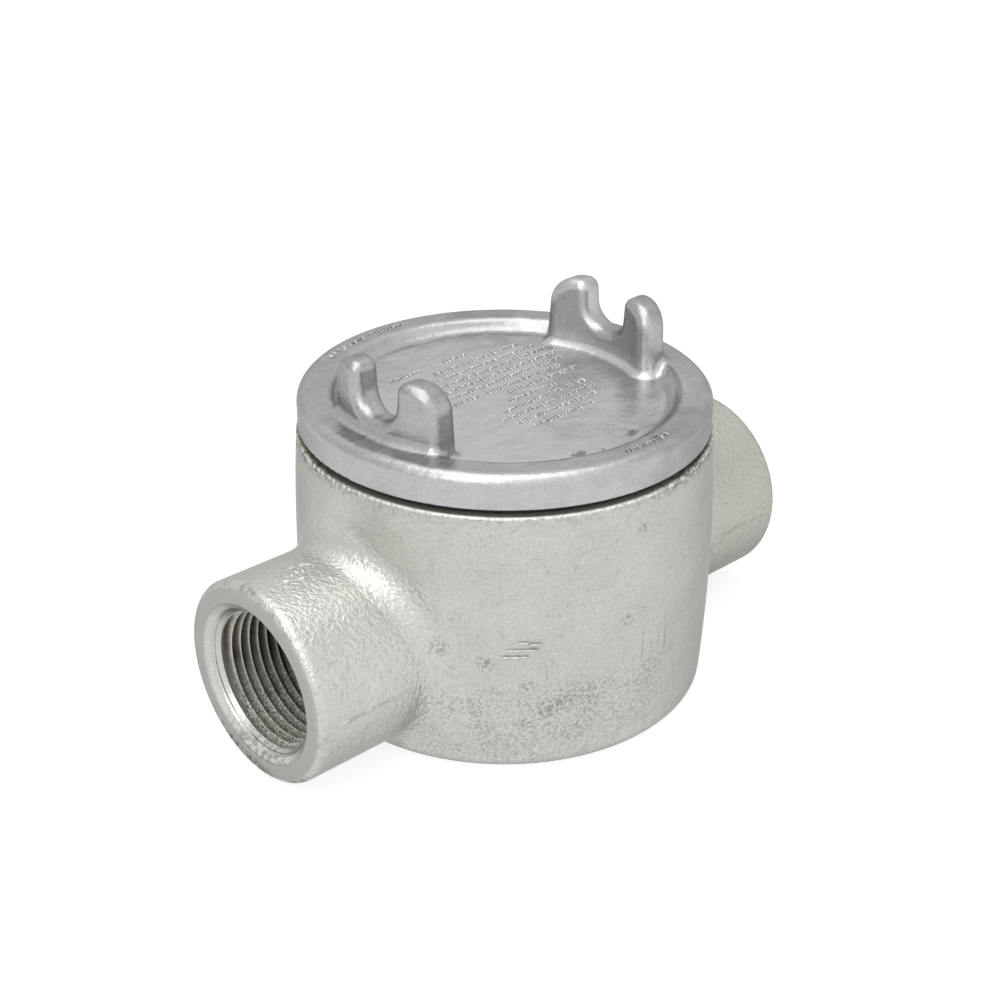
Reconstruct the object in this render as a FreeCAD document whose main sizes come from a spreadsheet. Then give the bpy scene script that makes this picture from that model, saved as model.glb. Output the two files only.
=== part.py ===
import FreeCAD, Part
import math
import os
import Sketcher

# Round cast junction box with two conduit hubs in line and a screwed cover.
# Millimetres, Z up. The origin is the centre of the flat bottom and the hubs lie along X.

document = FreeCAD.newDocument("round_junction_box")

SIZES = {
    # body casting
    "body_height": 60.25,
    "rim_radius": 45.3,
    "rim_wall": 4.7,
    "rim_edge_round": 0.6,
    "middle_swell": 1.1,
    "base_swell": 0.1,
    "body_wall": 5.5,
    "floor_thickness": 5.0,
    "floor_round": 4.0,
    "base_round": 2.5,
    # conduit hubs
    "hub_radius": 22.5,
    "hub_ground_gap": 0.1,
    "hub_length": 24.9,
    "hub_end_round": 2.2,
    "hub_blend": 6.5,
    "hub_thread_radius": 16.4,
    "hub_thread_depth": 22.0,
    "hub_mouth_width": 1.5,
    "hub_mouth_depth": 1.2,
    "throat_radius": 13.3,
    "throat_taper": 1.5,
    "throat_lip_round": 2.0,
    # screwed joint of cover and body, both plain at the roots of their threads
    "thread_gap": 1.8,
    "thread_runout": 2.0,
    "mouth_chamfer": 0.8,
    "neck_length": 18.0,
    "neck_wall": 4.8,
    "neck_chamfer": 1.0,
    # gasket
    "gasket_thickness": 1.2,
    "gasket_width": 1.7,
    "gasket_inset": 2.0,
    "gasket_edge_round": 0.25,
    # cover
    "cover_inset": 0.4,
    "flange_height": 7.5,
    "flange_top_round": 2.3,
    "flange_under_round": 0.5,
    "cover_rim_width": 6.1,
    "recess_depth": 2.8,
    "recess_edge_round": 1.8,
    "recess_floor_round": 2.7,
    "cover_web": 5.0,
    "web_round": 3.0,
    "cover_clocking": 1.4,
    # wrench lugs on the cover
    "lug_inset": 1.05,
    "lug_thickness": 6.7,
    "lug_base_width": 31.8,
    "lug_end_taper": 1.0,
    "lug_height": 13.25,
    "lug_shoulder": 6.2,
    "horn_flat": 0.1,
    "lug_edge_round": 2.2,
    "lug_foot_round": 2.0,
    "notch_base_width": 10.4,
    "notch_top_width": 12.0,
    "notch_floor": 3.25,
    "notch_round": 4.8,
    "notch_lip_round": 2.5,
    # grounding screw and its boss
    "boss_offset": 24.0,
    "boss_radius": 6.0,
    "boss_height": 4.0,
    "boss_foot_round": 1.5,
    "screw_radius": 2.4,
    "screw_length": 6.0,
    "screw_point": 0.8,
    "screw_clearance": 0.1,
    "screw_end_gap": 0.8,
    "screw_washer_radius": 5.2,
    "screw_washer_height": 1.0,
    "screw_washer_round": 0.4,
    "screw_hex_width": 8.0,
    "screw_hex_height": 2.6,
    "screw_hex_turn": 15.0,
    "screw_slot_width": 1.3,
    "screw_slot_depth": 1.4,
}

sheet = document.addObject("Spreadsheet::Sheet", "sizes")
for row, (alias, value) in enumerate(SIZES.items(), start=1):
    sheet.set(f"A{row}", alias)
    sheet.set(f"B{row}", str(value))
    sheet.setAlias(f"B{row}", alias)
document.recompute()

# Places that several pieces share, worked out from the sizes.
HUB_AXIS = "(sizes.hub_radius + sizes.hub_ground_gap)"
HUB_REACH = "(sizes.rim_radius + sizes.hub_length)"
HUB_MOUTH_END = f"({HUB_REACH} - sizes.hub_mouth_depth)"
HUB_THREAD_END = f"({HUB_REACH} - sizes.hub_thread_depth)"
THROAT_START = f"({HUB_THREAD_END} - sizes.throat_taper)"
HUB_MOUTH_RADIUS = "(sizes.hub_thread_radius + sizes.hub_mouth_width)"
MIDDLE_RADIUS = "(sizes.rim_radius + sizes.middle_swell)"
BASE_RADIUS = "(sizes.rim_radius + sizes.base_swell)"
CAVITY_MIDDLE_RADIUS = f"({MIDDLE_RADIUS} - sizes.body_wall)"
CAVITY_BASE_RADIUS = f"({BASE_RADIUS} - sizes.body_wall)"
BODY_THREAD_RADIUS = "(sizes.rim_radius - sizes.rim_wall)"
BODY_THREAD_END = "(sizes.body_height - sizes.neck_length - sizes.thread_runout)"
BODY_MOUTH_RADIUS = f"({BODY_THREAD_RADIUS} + sizes.mouth_chamfer)"
BODY_MOUTH_END = "(sizes.body_height - sizes.mouth_chamfer)"
COVER_SEAT = "(sizes.body_height + sizes.gasket_thickness)"
NECK_RADIUS = f"({BODY_THREAD_RADIUS} - sizes.thread_gap)"
NECK_BORE_RADIUS = f"({NECK_RADIUS} - sizes.neck_wall)"
COVER_RADIUS = "(sizes.rim_radius - sizes.cover_inset)"
RECESS_EDGE_RADIUS = f"({COVER_RADIUS} - sizes.cover_rim_width)"
RECESS_FLOOR = "(sizes.flange_height - sizes.recess_depth)"
RECESS_ROUNDS = "(sizes.recess_edge_round + sizes.recess_floor_round)"
RECESS_SLOPE = f"acos(1 - sizes.recess_depth / {RECESS_ROUNDS})"
RECESS_FLOOR_RADIUS = f"({RECESS_EDGE_RADIUS} - {RECESS_ROUNDS} * sin({RECESS_SLOPE}))"
COVER_CEILING = f"({RECESS_FLOOR} - sizes.cover_web)"
LUG_OUTER_RADIUS = f"({RECESS_EDGE_RADIUS} - sizes.lug_inset)"
LUG_INNER_RADIUS = f"({LUG_OUTER_RADIUS} - sizes.lug_thickness)"
LUG_FOOT = f"({RECESS_FLOOR} - sizes.cover_web / 2)"
LUG_TOP = "(sizes.flange_height + sizes.lug_height)"
LUG_TOP_WIDTH = "(sizes.lug_base_width - 2 * sizes.lug_end_taper)"
HORN_WIDTH = f"(({LUG_TOP_WIDTH} - sizes.notch_top_width) / 2)"
HORN_ROOM = f"({HORN_WIDTH} - sizes.notch_lip_round - sizes.horn_flat)"
NOTCH_FLOOR = "(sizes.flange_height + sizes.notch_floor)"
GASKET_OUTER_RADIUS = "(sizes.rim_radius - sizes.gasket_inset)"
GASKET_INNER_RADIUS = f"({GASKET_OUTER_RADIUS} - sizes.gasket_width)"
BOSS_TOP = "(sizes.floor_thickness + sizes.boss_height)"
SCREW_HOLE_RADIUS = "(sizes.screw_radius + sizes.screw_clearance)"
SCREW_HOLE_DEPTH = "(sizes.screw_length + sizes.screw_end_gap)"
SCREW_HEAD_TOP = "(sizes.screw_washer_height + sizes.screw_hex_height)"

NEAR = 0.01
UP = FreeCAD.Vector(0, 0, 1)


def number(expression):
    """Value of an expression on the sheet, in millimetres or degrees."""
    found = sheet.evalExpression(expression)
    return float(getattr(found, "Value", found))


def near(first, second):
    return abs(first - second) < NEAR


def from_axis(point):
    return math.hypot(point.x, point.y)


def from_hub_axis(point):
    return math.hypot(point.y, point.z - number(HUB_AXIS))


def new_body(name):
    body = document.addObject("PartDesign::Body", name)
    body.Label = name
    return body


def origin_feature(body, role):
    return next(feature for feature in body.Origin.OriginFeatures if feature.Role == role)


def new_sketch(body, name, plane, offsets=()):
    """Sketch on one of the body's origin planes, moved off it by expressions."""
    sketch = body.newObject("Sketcher::SketchObject", name)
    sketch.AttachmentSupport = (origin_feature(body, plane), [""])
    sketch.MapMode = "FlatFace"
    for direction, expression in offsets:
        sketch.setExpression(f"AttachmentOffset.Base.{direction}", expression)
    document.recompute()
    return sketch


def point_at(across, up):
    return FreeCAD.Vector(number(across), number(up), 0)


def drive(sketch, constraint, expression):
    index = sketch.addConstraint(constraint)
    sketch.setExpression(f"Constraints[{index}]", expression)


def pin(sketch, edge, end, across, up):
    """Hold a point of the sketch at two expressions, or on the sketch's own axes at zero."""
    places = (("DistanceX", -2, across), ("DistanceY", -1, up))
    for kind, axis, expression in places:
        if expression == "0":
            sketch.addConstraint(Sketcher.Constraint("PointOnObject", edge, end, axis))
        else:
            distance = Sketcher.Constraint(kind, -1, 1, edge, end, number(expression))
            drive(sketch, distance, expression)


def shifted(expression, size, share):
    return expression if near(share, 0) else f"{expression} + {share} * {size}"


def rounded(corners):
    """Outline with its rounded right angles cut back, and the arcs that then join its sides.

    A corner is a pair of expressions, with the radius as a third one where it is rounded.
    """
    outline = []
    bulges = {}
    for index, corner in enumerate(corners):
        across, up = corner[:2]
        if len(corner) == 2:
            outline.append(corner)
            continue
        radius = corner[2]
        here = point_at(across, up)
        following = corners[(index + 1) % len(corners)]
        back = (point_at(*corners[index - 1][:2]) - here).normalize()
        ahead = (point_at(*following[:2]) - here).normalize()
        middle = (back + ahead) * (1 - math.sqrt(0.5))
        bulges[len(outline)] = (shifted(across, radius, middle.x), shifted(up, radius, middle.y))
        for step in (back, ahead):
            outline.append((shifted(across, radius, step.x), shifted(up, radius, step.y)))
    return outline, bulges


def draw_outline(sketch, corners, bulges=None):
    """Closed outline through corners given as pairs of expressions.

    Sides are straight, but a side named in bulges by its first corner's index is an arc through
    the point given there. Arcs run anticlockwise, so one that bends to the right is held by its
    other end.
    """
    bulges = bulges or {}
    points = [point_at(across, up) for across, up in corners]
    count = len(points)
    ends = []
    for index, point in enumerate(points):
        following = points[(index + 1) % count]
        bends_right = False
        if index in bulges:
            through = point_at(*bulges[index])
            bends_right = (through - point).cross(following - through).z < 0
            sketch.addGeometry(Part.Arc(point, through, following))
        else:
            sketch.addGeometry(Part.LineSegment(point, following))
        ends.append((2, 1) if bends_right else (1, 2))
    for index in range(count):
        following = (index + 1) % count
        meeting = (index, ends[index][1], following, ends[following][0])
        sketch.addConstraint(Sketcher.Constraint("Coincident", *meeting))
    for index, (across, up) in enumerate(corners):
        pin(sketch, index, ends[index][0], across, up)
    for index, (across, up) in bulges.items():
        through = sketch.addGeometry(Part.Point(point_at(across, up)), True)
        pin(sketch, through, 1, across, up)
        sketch.addConstraint(Sketcher.Constraint("PointOnObject", through, 1, index))


def draw_circle(sketch, across, up, radius):
    circle = sketch.addGeometry(Part.Circle(point_at(across, up), UP, number(radius)))
    pin(sketch, circle, 3, across, up)
    drive(sketch, Sketcher.Constraint("Radius", circle, number(radius)), radius)


def draw_lug(sketch):
    """One lug seen from above: two arcs about the cover's centre and two ends parallel to X."""
    half_width = number("sizes.lug_base_width / 2")
    centre = FreeCAD.Vector(0, 0, 0)
    for radius in (LUG_OUTER_RADIUS, LUG_INNER_RADIUS):
        reach = math.asin(half_width / number(radius))
        circle = Part.Circle(centre, UP, number(radius))
        arc = sketch.addGeometry(Part.ArcOfCircle(circle, -reach, reach))
        sketch.addConstraint(Sketcher.Constraint("Coincident", arc, 3, -1, 1))
        drive(sketch, Sketcher.Constraint("Radius", arc, number(radius)), radius)
    outer, inner = 0, 1
    for end, width in ((1, "-sizes.lug_base_width / 2"), (2, "sizes.lug_base_width / 2")):
        start = sketch.getPoint(inner, end)
        side = sketch.addGeometry(Part.LineSegment(start, sketch.getPoint(outer, end)))
        sketch.addConstraint(Sketcher.Constraint("Coincident", side, 1, inner, end))
        sketch.addConstraint(Sketcher.Constraint("Coincident", side, 2, outer, end))
        sketch.addConstraint(Sketcher.Constraint("Horizontal", side))
        drive(sketch, Sketcher.Constraint("DistanceY", -1, 1, side, 1, number(width)), width)


def turn(body, kind, name, corners, bulges=None):
    """Revolution or Groove of an outline about Z, with its seam on the plain back of the wall."""
    sketch = new_sketch(body, f"{name}_outline", "YZ_Plane")
    draw_outline(sketch, corners, bulges)
    return sweep_round(body, kind, name, sketch, "V_Axis")


def turn_about_hubs(body, kind, name, corners):
    """Revolution or Groove of an outline about the line of the two hubs."""
    sketch = new_sketch(body, f"{name}_outline", "XZ_Plane", [("y", HUB_AXIS)])
    draw_outline(sketch, corners)
    return sweep_round(body, kind, name, sketch, "H_Axis")


def sweep_round(body, kind, name, sketch, axis):
    feature = body.newObject(f"PartDesign::{kind}", name)
    feature.Profile = sketch
    feature.ReferenceAxis = (sketch, [axis])
    feature.Angle = 360
    document.recompute()
    return feature


def extrude(body, kind, name, sketch, length):
    """Pad of a sketch along its normal, or Pocket against it."""
    feature = body.newObject(f"PartDesign::{kind}", name)
    feature.Profile = sketch
    feature.setExpression("Length", length)
    document.recompute()
    return feature


def cut_through(body, name, sketch):
    """Pocket of a sketch through everything on both sides of its plane."""
    feature = body.newObject("PartDesign::Pocket", name)
    feature.Profile = sketch
    feature.SideType = "Symmetric"
    feature.Type = "ThroughAll"
    document.recompute()
    return feature


def edges_where(feature, test):
    """Names of the edges on which every sampled point passes the test."""
    names = []
    for index, edge in enumerate(feature.Shape.Edges, start=1):
        if all(test(point) for point in edge.discretize(Number=7)):
            names.append(f"Edge{index}")
    return names


def dress_edges(body, kind, name, test, size):
    """Fillet or Chamfer of the edges of the body so far that pass the test."""
    base = body.Tip
    feature = body.newObject(f"PartDesign::{kind}", name)
    feature.Base = (base, edges_where(base, test))
    feature.setExpression("Radius" if kind == "Fillet" else "Size", size)
    document.recompute()
    return feature


def round_ring(body, name, radius, height, size):
    """Fillet of the circle about Z that has this radius and height."""
    wanted_radius = number(radius)
    wanted_height = number(height)
    dress_edges(
        body, "Fillet", name,
        lambda point: near(from_axis(point), wanted_radius) and near(point.z, wanted_height),
        size)


def round_crossing(body, name, aside, height, size):
    """Fillet of the edges that cross the lug along X at this height, on both sides of the middle."""
    wanted_side = number(aside)
    wanted_height = number(height)
    dress_edges(
        body, "Fillet", name,
        lambda point: near(abs(point.y), wanted_side) and near(point.z, wanted_height),
        size)


def build_box_body():
    body = new_body("box_body")
    turn(body, "Revolution", "pot", [
        ("0", "0"),
        (BASE_RADIUS, "0"),
        ("sizes.rim_radius", "sizes.body_height"),
        ("0", "sizes.body_height"),
    ], {1: (MIDDLE_RADIUS, HUB_AXIS)})
    round_ring(body, "base_rounded", BASE_RADIUS, "0", "sizes.base_round")

    turn_about_hubs(body, "Revolution", "hubs", [
        (f"-{HUB_REACH}", "0"),
        (HUB_REACH, "0"),
        (HUB_REACH, "sizes.hub_radius"),
        (f"-{HUB_REACH}", "sizes.hub_radius"),
    ])
    hub_radius = number("sizes.hub_radius")
    hub_reach = number(HUB_REACH)
    dress_edges(
        body, "Fillet", "hub_roots_blended",
        lambda point: near(from_hub_axis(point), hub_radius) and abs(point.x) < hub_reach - NEAR,
        "sizes.hub_blend")
    dress_edges(
        body, "Fillet", "hub_ends_rounded",
        lambda point: near(from_hub_axis(point), hub_radius) and near(abs(point.x), hub_reach),
        "sizes.hub_end_round")
    round_ring(body, "rim_rounded", "sizes.rim_radius", "sizes.body_height", "sizes.rim_edge_round")

    turn(body, "Groove", "cavity", [
        ("0", "sizes.floor_thickness"),
        (CAVITY_BASE_RADIUS, "sizes.floor_thickness"),
        (BODY_THREAD_RADIUS, BODY_THREAD_END),
        (BODY_THREAD_RADIUS, BODY_MOUTH_END),
        (BODY_MOUTH_RADIUS, "sizes.body_height"),
        ("0", "sizes.body_height"),
    ], {1: (CAVITY_MIDDLE_RADIUS, HUB_AXIS)})
    round_ring(body, "floor_rounded", CAVITY_BASE_RADIUS, "sizes.floor_thickness", "sizes.floor_round")

    half_bore = [
        (HUB_REACH, "0"),
        (HUB_REACH, HUB_MOUTH_RADIUS),
        (HUB_MOUTH_END, "sizes.hub_thread_radius"),
        (HUB_THREAD_END, "sizes.hub_thread_radius"),
        (THROAT_START, "sizes.throat_radius"),
    ]
    other_half = [(f"-{along}", out) for along, out in reversed(half_bore)]
    turn_about_hubs(body, "Groove", "hub_bores", half_bore + other_half)
    throat_radius = number("sizes.throat_radius")
    throat_start = number(THROAT_START)
    dress_edges(
        body, "Fillet", "throat_lips",
        lambda point: near(from_hub_axis(point), throat_radius) and abs(point.x) < throat_start - NEAR,
        "sizes.throat_lip_round")

    boss = new_sketch(body, "boss_circle", "XY_Plane", [("z", "sizes.floor_thickness / 2")])
    draw_circle(boss, "0", "sizes.boss_offset", "sizes.boss_radius")
    extrude(body, "Pad", "boss", boss, f"{BOSS_TOP} - sizes.floor_thickness / 2")
    boss_offset = number("sizes.boss_offset")
    boss_radius = number("sizes.boss_radius")
    floor = number("sizes.floor_thickness")

    def at_boss_foot(point):
        from_boss = math.hypot(point.x, point.y - boss_offset)
        return near(from_boss, boss_radius) and near(point.z, floor)

    dress_edges(body, "Fillet", "boss_foot", at_boss_foot, "sizes.boss_foot_round")
    hole = new_sketch(body, "screw_hole_circle", "XY_Plane", [("z", BOSS_TOP)])
    draw_circle(hole, "0", "sizes.boss_offset", SCREW_HOLE_RADIUS)
    extrude(body, "Pocket", "screw_hole", hole, SCREW_HOLE_DEPTH)
    return body


def build_cover():
    """The cover, drawn with its own zero height at the underside of its flange."""
    body = new_body("cover")
    build_lugs(body)
    plate, bulges = rounded([
        ("0", RECESS_FLOOR),
        ("0", COVER_CEILING),
        (NECK_BORE_RADIUS, COVER_CEILING, "sizes.web_round"),
        (NECK_BORE_RADIUS, "-sizes.neck_length"),
        (NECK_RADIUS, "-sizes.neck_length"),
        (NECK_RADIUS, "0"),
        (COVER_RADIUS, "0", "sizes.flange_under_round"),
        (COVER_RADIUS, "sizes.flange_height", "sizes.flange_top_round"),
        (RECESS_EDGE_RADIUS, "sizes.flange_height"),
    ])
    half_slope = f"({RECESS_SLOPE} / 2)"
    bulges[len(plate) - 1] = on_recess_edge(half_slope)
    bulges[len(plate)] = on_recess_floor(half_slope)
    plate += [on_recess_edge(RECESS_SLOPE), (RECESS_FLOOR_RADIUS, RECESS_FLOOR)]
    turn(body, "Revolution", "plate", plate, bulges)

    rim_top = number("sizes.flange_height")
    floor = number(RECESS_FLOOR)
    outer_radius = number(LUG_OUTER_RADIUS)
    lug_end = number("sizes.lug_base_width / 2")
    inner_reach = math.sqrt(number(LUG_INNER_RADIUS) ** 2 - lug_end ** 2)

    def at_lug_foot(point):
        within_ends = abs(point.y) < lug_end + NEAR
        within_faces = abs(point.x) > inner_reach - NEAR and from_axis(point) < outer_radius + NEAR
        return within_ends and within_faces and floor - NEAR < point.z < rim_top + NEAR

    dress_edges(body, "Fillet", "lug_feet", at_lug_foot, "sizes.lug_foot_round")
    neck_radius = number(NECK_RADIUS)
    neck_end = number("-sizes.neck_length")
    dress_edges(
        body, "Chamfer", "neck_end",
        lambda point: near(from_axis(point), neck_radius) and near(point.z, neck_end),
        "sizes.neck_chamfer")
    return body


def on_recess_edge(slope):
    """Point of the round at the recess's edge where its side has this slope."""
    inward = f"{RECESS_EDGE_RADIUS} - sizes.recess_edge_round * sin({slope})"
    return inward, f"sizes.flange_height - sizes.recess_edge_round * (1 - cos({slope}))"


def on_recess_floor(slope):
    """Point of the round at the recess's floor where its side has this slope."""
    outward = f"{RECESS_FLOOR_RADIUS} + sizes.recess_floor_round * sin({slope})"
    return outward, f"{RECESS_FLOOR} + sizes.recess_floor_round * (1 - cos({slope}))"


def build_lugs(body):
    """The two notched lugs, which start inside the thickness of the plate that will join them."""
    sketch = new_sketch(body, "lug_outline", "XY_Plane", [("z", LUG_FOOT)])
    draw_lug(sketch)
    extrude(body, "Pad", "lug", sketch, f"{LUG_TOP} - {LUG_FOOT}")
    for name, sign in (("lug_front_end", "-"), ("lug_back_end", "")):
        end = new_sketch(body, f"{name}_outline", "YZ_Plane")
        draw_outline(end, [
            (f"{sign}sizes.lug_base_width / 2", LUG_FOOT),
            (f"{sign}sizes.lug_base_width", LUG_FOOT),
            (f"{sign}sizes.lug_base_width", LUG_TOP),
            (f"{sign}{LUG_TOP_WIDTH} / 2", LUG_TOP),
        ])
        cut_through(body, name, end)
    notch = new_sketch(body, "notch_outline", "YZ_Plane")
    draw_outline(notch, [
        ("-sizes.notch_base_width / 2", NOTCH_FLOOR),
        ("sizes.notch_base_width / 2", NOTCH_FLOOR),
        ("sizes.notch_top_width / 2", LUG_TOP),
        ("-sizes.notch_top_width / 2", LUG_TOP),
    ])
    cut_through(body, "notch", notch)

    corners = (
        ("lug_shoulders", f"{LUG_TOP_WIDTH} / 2", LUG_TOP, f"min(sizes.lug_shoulder; {HORN_ROOM})"),
        ("notch_corners", "sizes.notch_base_width / 2", NOTCH_FLOOR, "sizes.notch_round"),
        ("notch_lips", "sizes.notch_top_width / 2", LUG_TOP, "sizes.notch_lip_round"),
    )
    for name, aside, height, radius in corners:
        round_crossing(body, name, aside, height, radius)

    faces = (number(LUG_OUTER_RADIUS), number(LUG_INNER_RADIUS))
    foot = number(LUG_FOOT)
    lug_end = number("sizes.lug_base_width / 2")

    def on_lug_face(point):
        shows = point.z > foot + NEAR or near(abs(point.y), lug_end)
        return shows and any(near(from_axis(point), radius) for radius in faces)

    dress_edges(body, "Fillet", "lug_edges", on_lug_face, "sizes.lug_edge_round")
    pair = body.newObject("PartDesign::PolarPattern", "lug_pair")
    pair.TransformMode = "Whole shape"
    pair.Axis = (origin_feature(body, "Z_Axis"), [""])
    pair.Angle = 360
    pair.Occurrences = 2
    body.Tip = pair
    document.recompute()


def build_cover_gasket():
    body = new_body("cover_gasket")
    turn(body, "Revolution", "ring", [
        (GASKET_INNER_RADIUS, "0"),
        (GASKET_OUTER_RADIUS, "0"),
        (GASKET_OUTER_RADIUS, "sizes.gasket_thickness"),
        (GASKET_INNER_RADIUS, "sizes.gasket_thickness"),
    ])
    round_ring(body, "lower_edge", GASKET_OUTER_RADIUS, "0", "sizes.gasket_edge_round")
    round_ring(
        body, "upper_edge", GASKET_OUTER_RADIUS, "sizes.gasket_thickness", "sizes.gasket_edge_round")
    return body


def build_ground_screw():
    """The screw, drawn with its own zero height under its head."""
    body = new_body("ground_screw")
    turn(body, "Revolution", "shank", [
        ("0", "-sizes.screw_length"),
        ("sizes.screw_radius - sizes.screw_point", "-sizes.screw_length"),
        ("sizes.screw_radius", "sizes.screw_point - sizes.screw_length"),
        ("sizes.screw_radius", "0"),
        ("sizes.screw_washer_radius", "0"),
        ("sizes.screw_washer_radius", "sizes.screw_washer_height"),
        ("0", "sizes.screw_washer_height"),
    ])
    round_ring(
        body, "washer_edge", "sizes.screw_washer_radius", "sizes.screw_washer_height",
        "sizes.screw_washer_round")
    hexagon = new_sketch(body, "hex_outline", "XY_Plane")
    corner_reach = "sizes.screw_hex_width / sqrt(3)"
    corner_angles = [f"(sizes.screw_hex_turn + {60 * corner})" for corner in range(6)]
    draw_outline(hexagon, [
        (f"{corner_reach} * cos({angle})", f"{corner_reach} * sin({angle})") for angle in corner_angles
    ])
    extrude(body, "Pad", "hex_head", hexagon, SCREW_HEAD_TOP)
    slot = new_sketch(body, "slot_outline", "XY_Plane", [("z", SCREW_HEAD_TOP)])
    draw_outline(slot, [
        ("-sizes.screw_washer_radius", "-sizes.screw_slot_width / 2"),
        ("sizes.screw_washer_radius", "-sizes.screw_slot_width / 2"),
        ("sizes.screw_washer_radius", "sizes.screw_slot_width / 2"),
        ("-sizes.screw_washer_radius", "sizes.screw_slot_width / 2"),
    ])
    extrude(body, "Pocket", "slot", slot, "sizes.screw_slot_depth")
    return body


box_body = build_box_body()

cover = build_cover()
cover.setExpression("Placement.Base.z", COVER_SEAT)
cover.setExpression("Placement.Rotation.Angle", "sizes.cover_clocking")

cover_gasket = build_cover_gasket()
cover_gasket.setExpression("Placement.Base.z", "sizes.body_height")

ground_screw = build_ground_screw()
ground_screw.setExpression("Placement.Base.y", "sizes.boss_offset")
ground_screw.setExpression("Placement.Base.z", BOSS_TOP)
document.recompute()

for item in document.Objects:
    if "Invalid" in item.State or "Error" in item.State:
        raise RuntimeError(f"{item.Name} failed: {item.State}")

pieces = (box_body, cover, cover_gasket, ground_screw)
for piece in pieces:
    if piece.Shape.isNull() or not piece.Shape.isValid() or len(piece.Shape.Solids) != 1:
        raise RuntimeError(f"{piece.Label} is not one valid solid")

os.makedirs("parts", exist_ok=True)
for piece in pieces:
    piece.Shape.exportStep(f"parts/{piece.Label}.step")
    print(f"{piece.Label}: {piece.Shape.Volume:.0f} cubic mm")
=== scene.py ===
import math
import bpy
from mathutils import Matrix, Vector


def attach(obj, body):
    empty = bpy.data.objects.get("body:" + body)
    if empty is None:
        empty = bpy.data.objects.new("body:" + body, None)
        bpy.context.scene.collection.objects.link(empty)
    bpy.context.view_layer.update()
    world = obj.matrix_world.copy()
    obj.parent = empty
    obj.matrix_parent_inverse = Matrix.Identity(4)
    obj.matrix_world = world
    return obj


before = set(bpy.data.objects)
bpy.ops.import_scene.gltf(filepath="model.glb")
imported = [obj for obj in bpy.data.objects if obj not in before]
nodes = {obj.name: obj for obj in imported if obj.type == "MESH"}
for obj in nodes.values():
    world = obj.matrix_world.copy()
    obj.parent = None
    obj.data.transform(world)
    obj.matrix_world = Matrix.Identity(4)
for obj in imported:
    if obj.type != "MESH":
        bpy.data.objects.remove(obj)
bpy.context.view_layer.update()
scene = bpy.context.scene
mm = 0.001
print("frame loaded:", ", ".join(sorted(nodes)))


def connect(tree, made, sockets):
    for key, value in sockets.items():
        if isinstance(value, Wire):
            tree.links.new(value.socket, made.inputs[key])
        else:
            made.inputs[key].default_value = value


# one socket of a node tree, so that node maths reads as plain sums
class Wire:
    def __init__(self, tree, socket=None):
        self.tree = tree
        self.socket = socket

    def node(self, kind, settings=None, sockets=None, output=0):
        made = self.tree.nodes.new(kind)
        for key, value in (settings or {}).items():
            setattr(made, key, value)
        connect(self.tree, made, sockets or {})
        return Wire(self.tree, made.outputs[output])

    def maths(self, operation, *values):
        return self.node("ShaderNodeMath", {"operation": operation}, dict(enumerate(values)))

    def __add__(self, other):
        return self.maths("ADD", self, other)

    def __radd__(self, other):
        return self.maths("ADD", other, self)

    def __sub__(self, other):
        return self.maths("SUBTRACT", self, other)

    def __rsub__(self, other):
        return self.maths("SUBTRACT", other, self)

    def __mul__(self, other):
        return self.maths("MULTIPLY", self, other)

    def __rmul__(self, other):
        return self.maths("MULTIPLY", other, self)

    def __truediv__(self, other):
        return self.maths("DIVIDE", self, other)

    def __abs__(self):
        return self.maths("ABSOLUTE", self)

    # 0 below the first edge, 1 past the second, smooth between them
    def ease(self, low, high):
        span = {"Value": self, "From Min": low, "From Max": high}
        return self.node("ShaderNodeMapRange", {"interpolation_type": "SMOOTHSTEP"}, span)

    # length of two offsets at right angles
    def hypot(self, other):
        return self.maths("SQRT", self * self + other * other)

    # colour between two others, with this value as the mask
    def tint(self, low, high):
        return self.node("ShaderNodeMix", {"data_type": "RGBA"}, {0: self, 6: low, 7: high}, 2)

    # the rest read this wire as a place in millimetres
    def moved(self, shift=(0, 0, 0), stretch=(1, 1, 1)):
        return self.node("ShaderNodeMapping", {}, {"Vector": self, "Location": shift, "Scale": stretch})

    def noise(self, size, detail=2.0, roughness=0.5):
        grain = {"Vector": self, "Scale": 1 / size, "Detail": detail, "Roughness": roughness}
        return self.node("ShaderNodeTexNoise", {}, grain)

    def cells(self, size):
        return self.node("ShaderNodeTexVoronoi", {}, {"Vector": self, "Scale": 1 / size})

    def axes(self):
        return [self.node("ShaderNodeSeparateXYZ", {}, {0: self}, axis) for axis in range(3)]


def rgb(red, green, blue):
    return (red, green, blue, 1)


# a new material, the place on the surface in millimetres, and a function that feeds its shader
def startMaterial(name, edge=0.8):
    material = bpy.data.materials.new(name)
    material.use_nodes = True
    tree = material.node_tree
    shader = tree.nodes["Principled BSDF"]
    shader.inputs["Specular Tint"].default_value = rgb(edge, edge, edge)
    spot = Wire(tree).node("ShaderNodeTexCoord", output="Object")
    place = spot.node("ShaderNodeVectorMath", {"operation": "SCALE"}, {0: spot, "Scale": 1 / mm})

    def feed(height, **sockets):
        bump = place.node("ShaderNodeBump", {}, {"Strength": 1, "Distance": mm, "Height": height})
        named = {key.replace("_", " "): value for key, value in sockets.items()}
        connect(tree, shader, {**named, "Normal": bump})

    return material, place, feed


# sizes of the hubs that several pieces share; the bore is at the root of its tapered thread
hubSizes = {"axis": 22.6, "face": 70.2, "radius": 22.5, "bore": 16.42, "taper": 1 / 32, "seamDrop": 0.6}

# short ribs cast on the pot: degrees from, degrees to, height
potRibs = ((-130.3, -125.7, 31.9), (-127.5, -122.7, 31.5), (-133.1, -123.7, 30.2), (-134.8, -126.2, 28.6))

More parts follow.
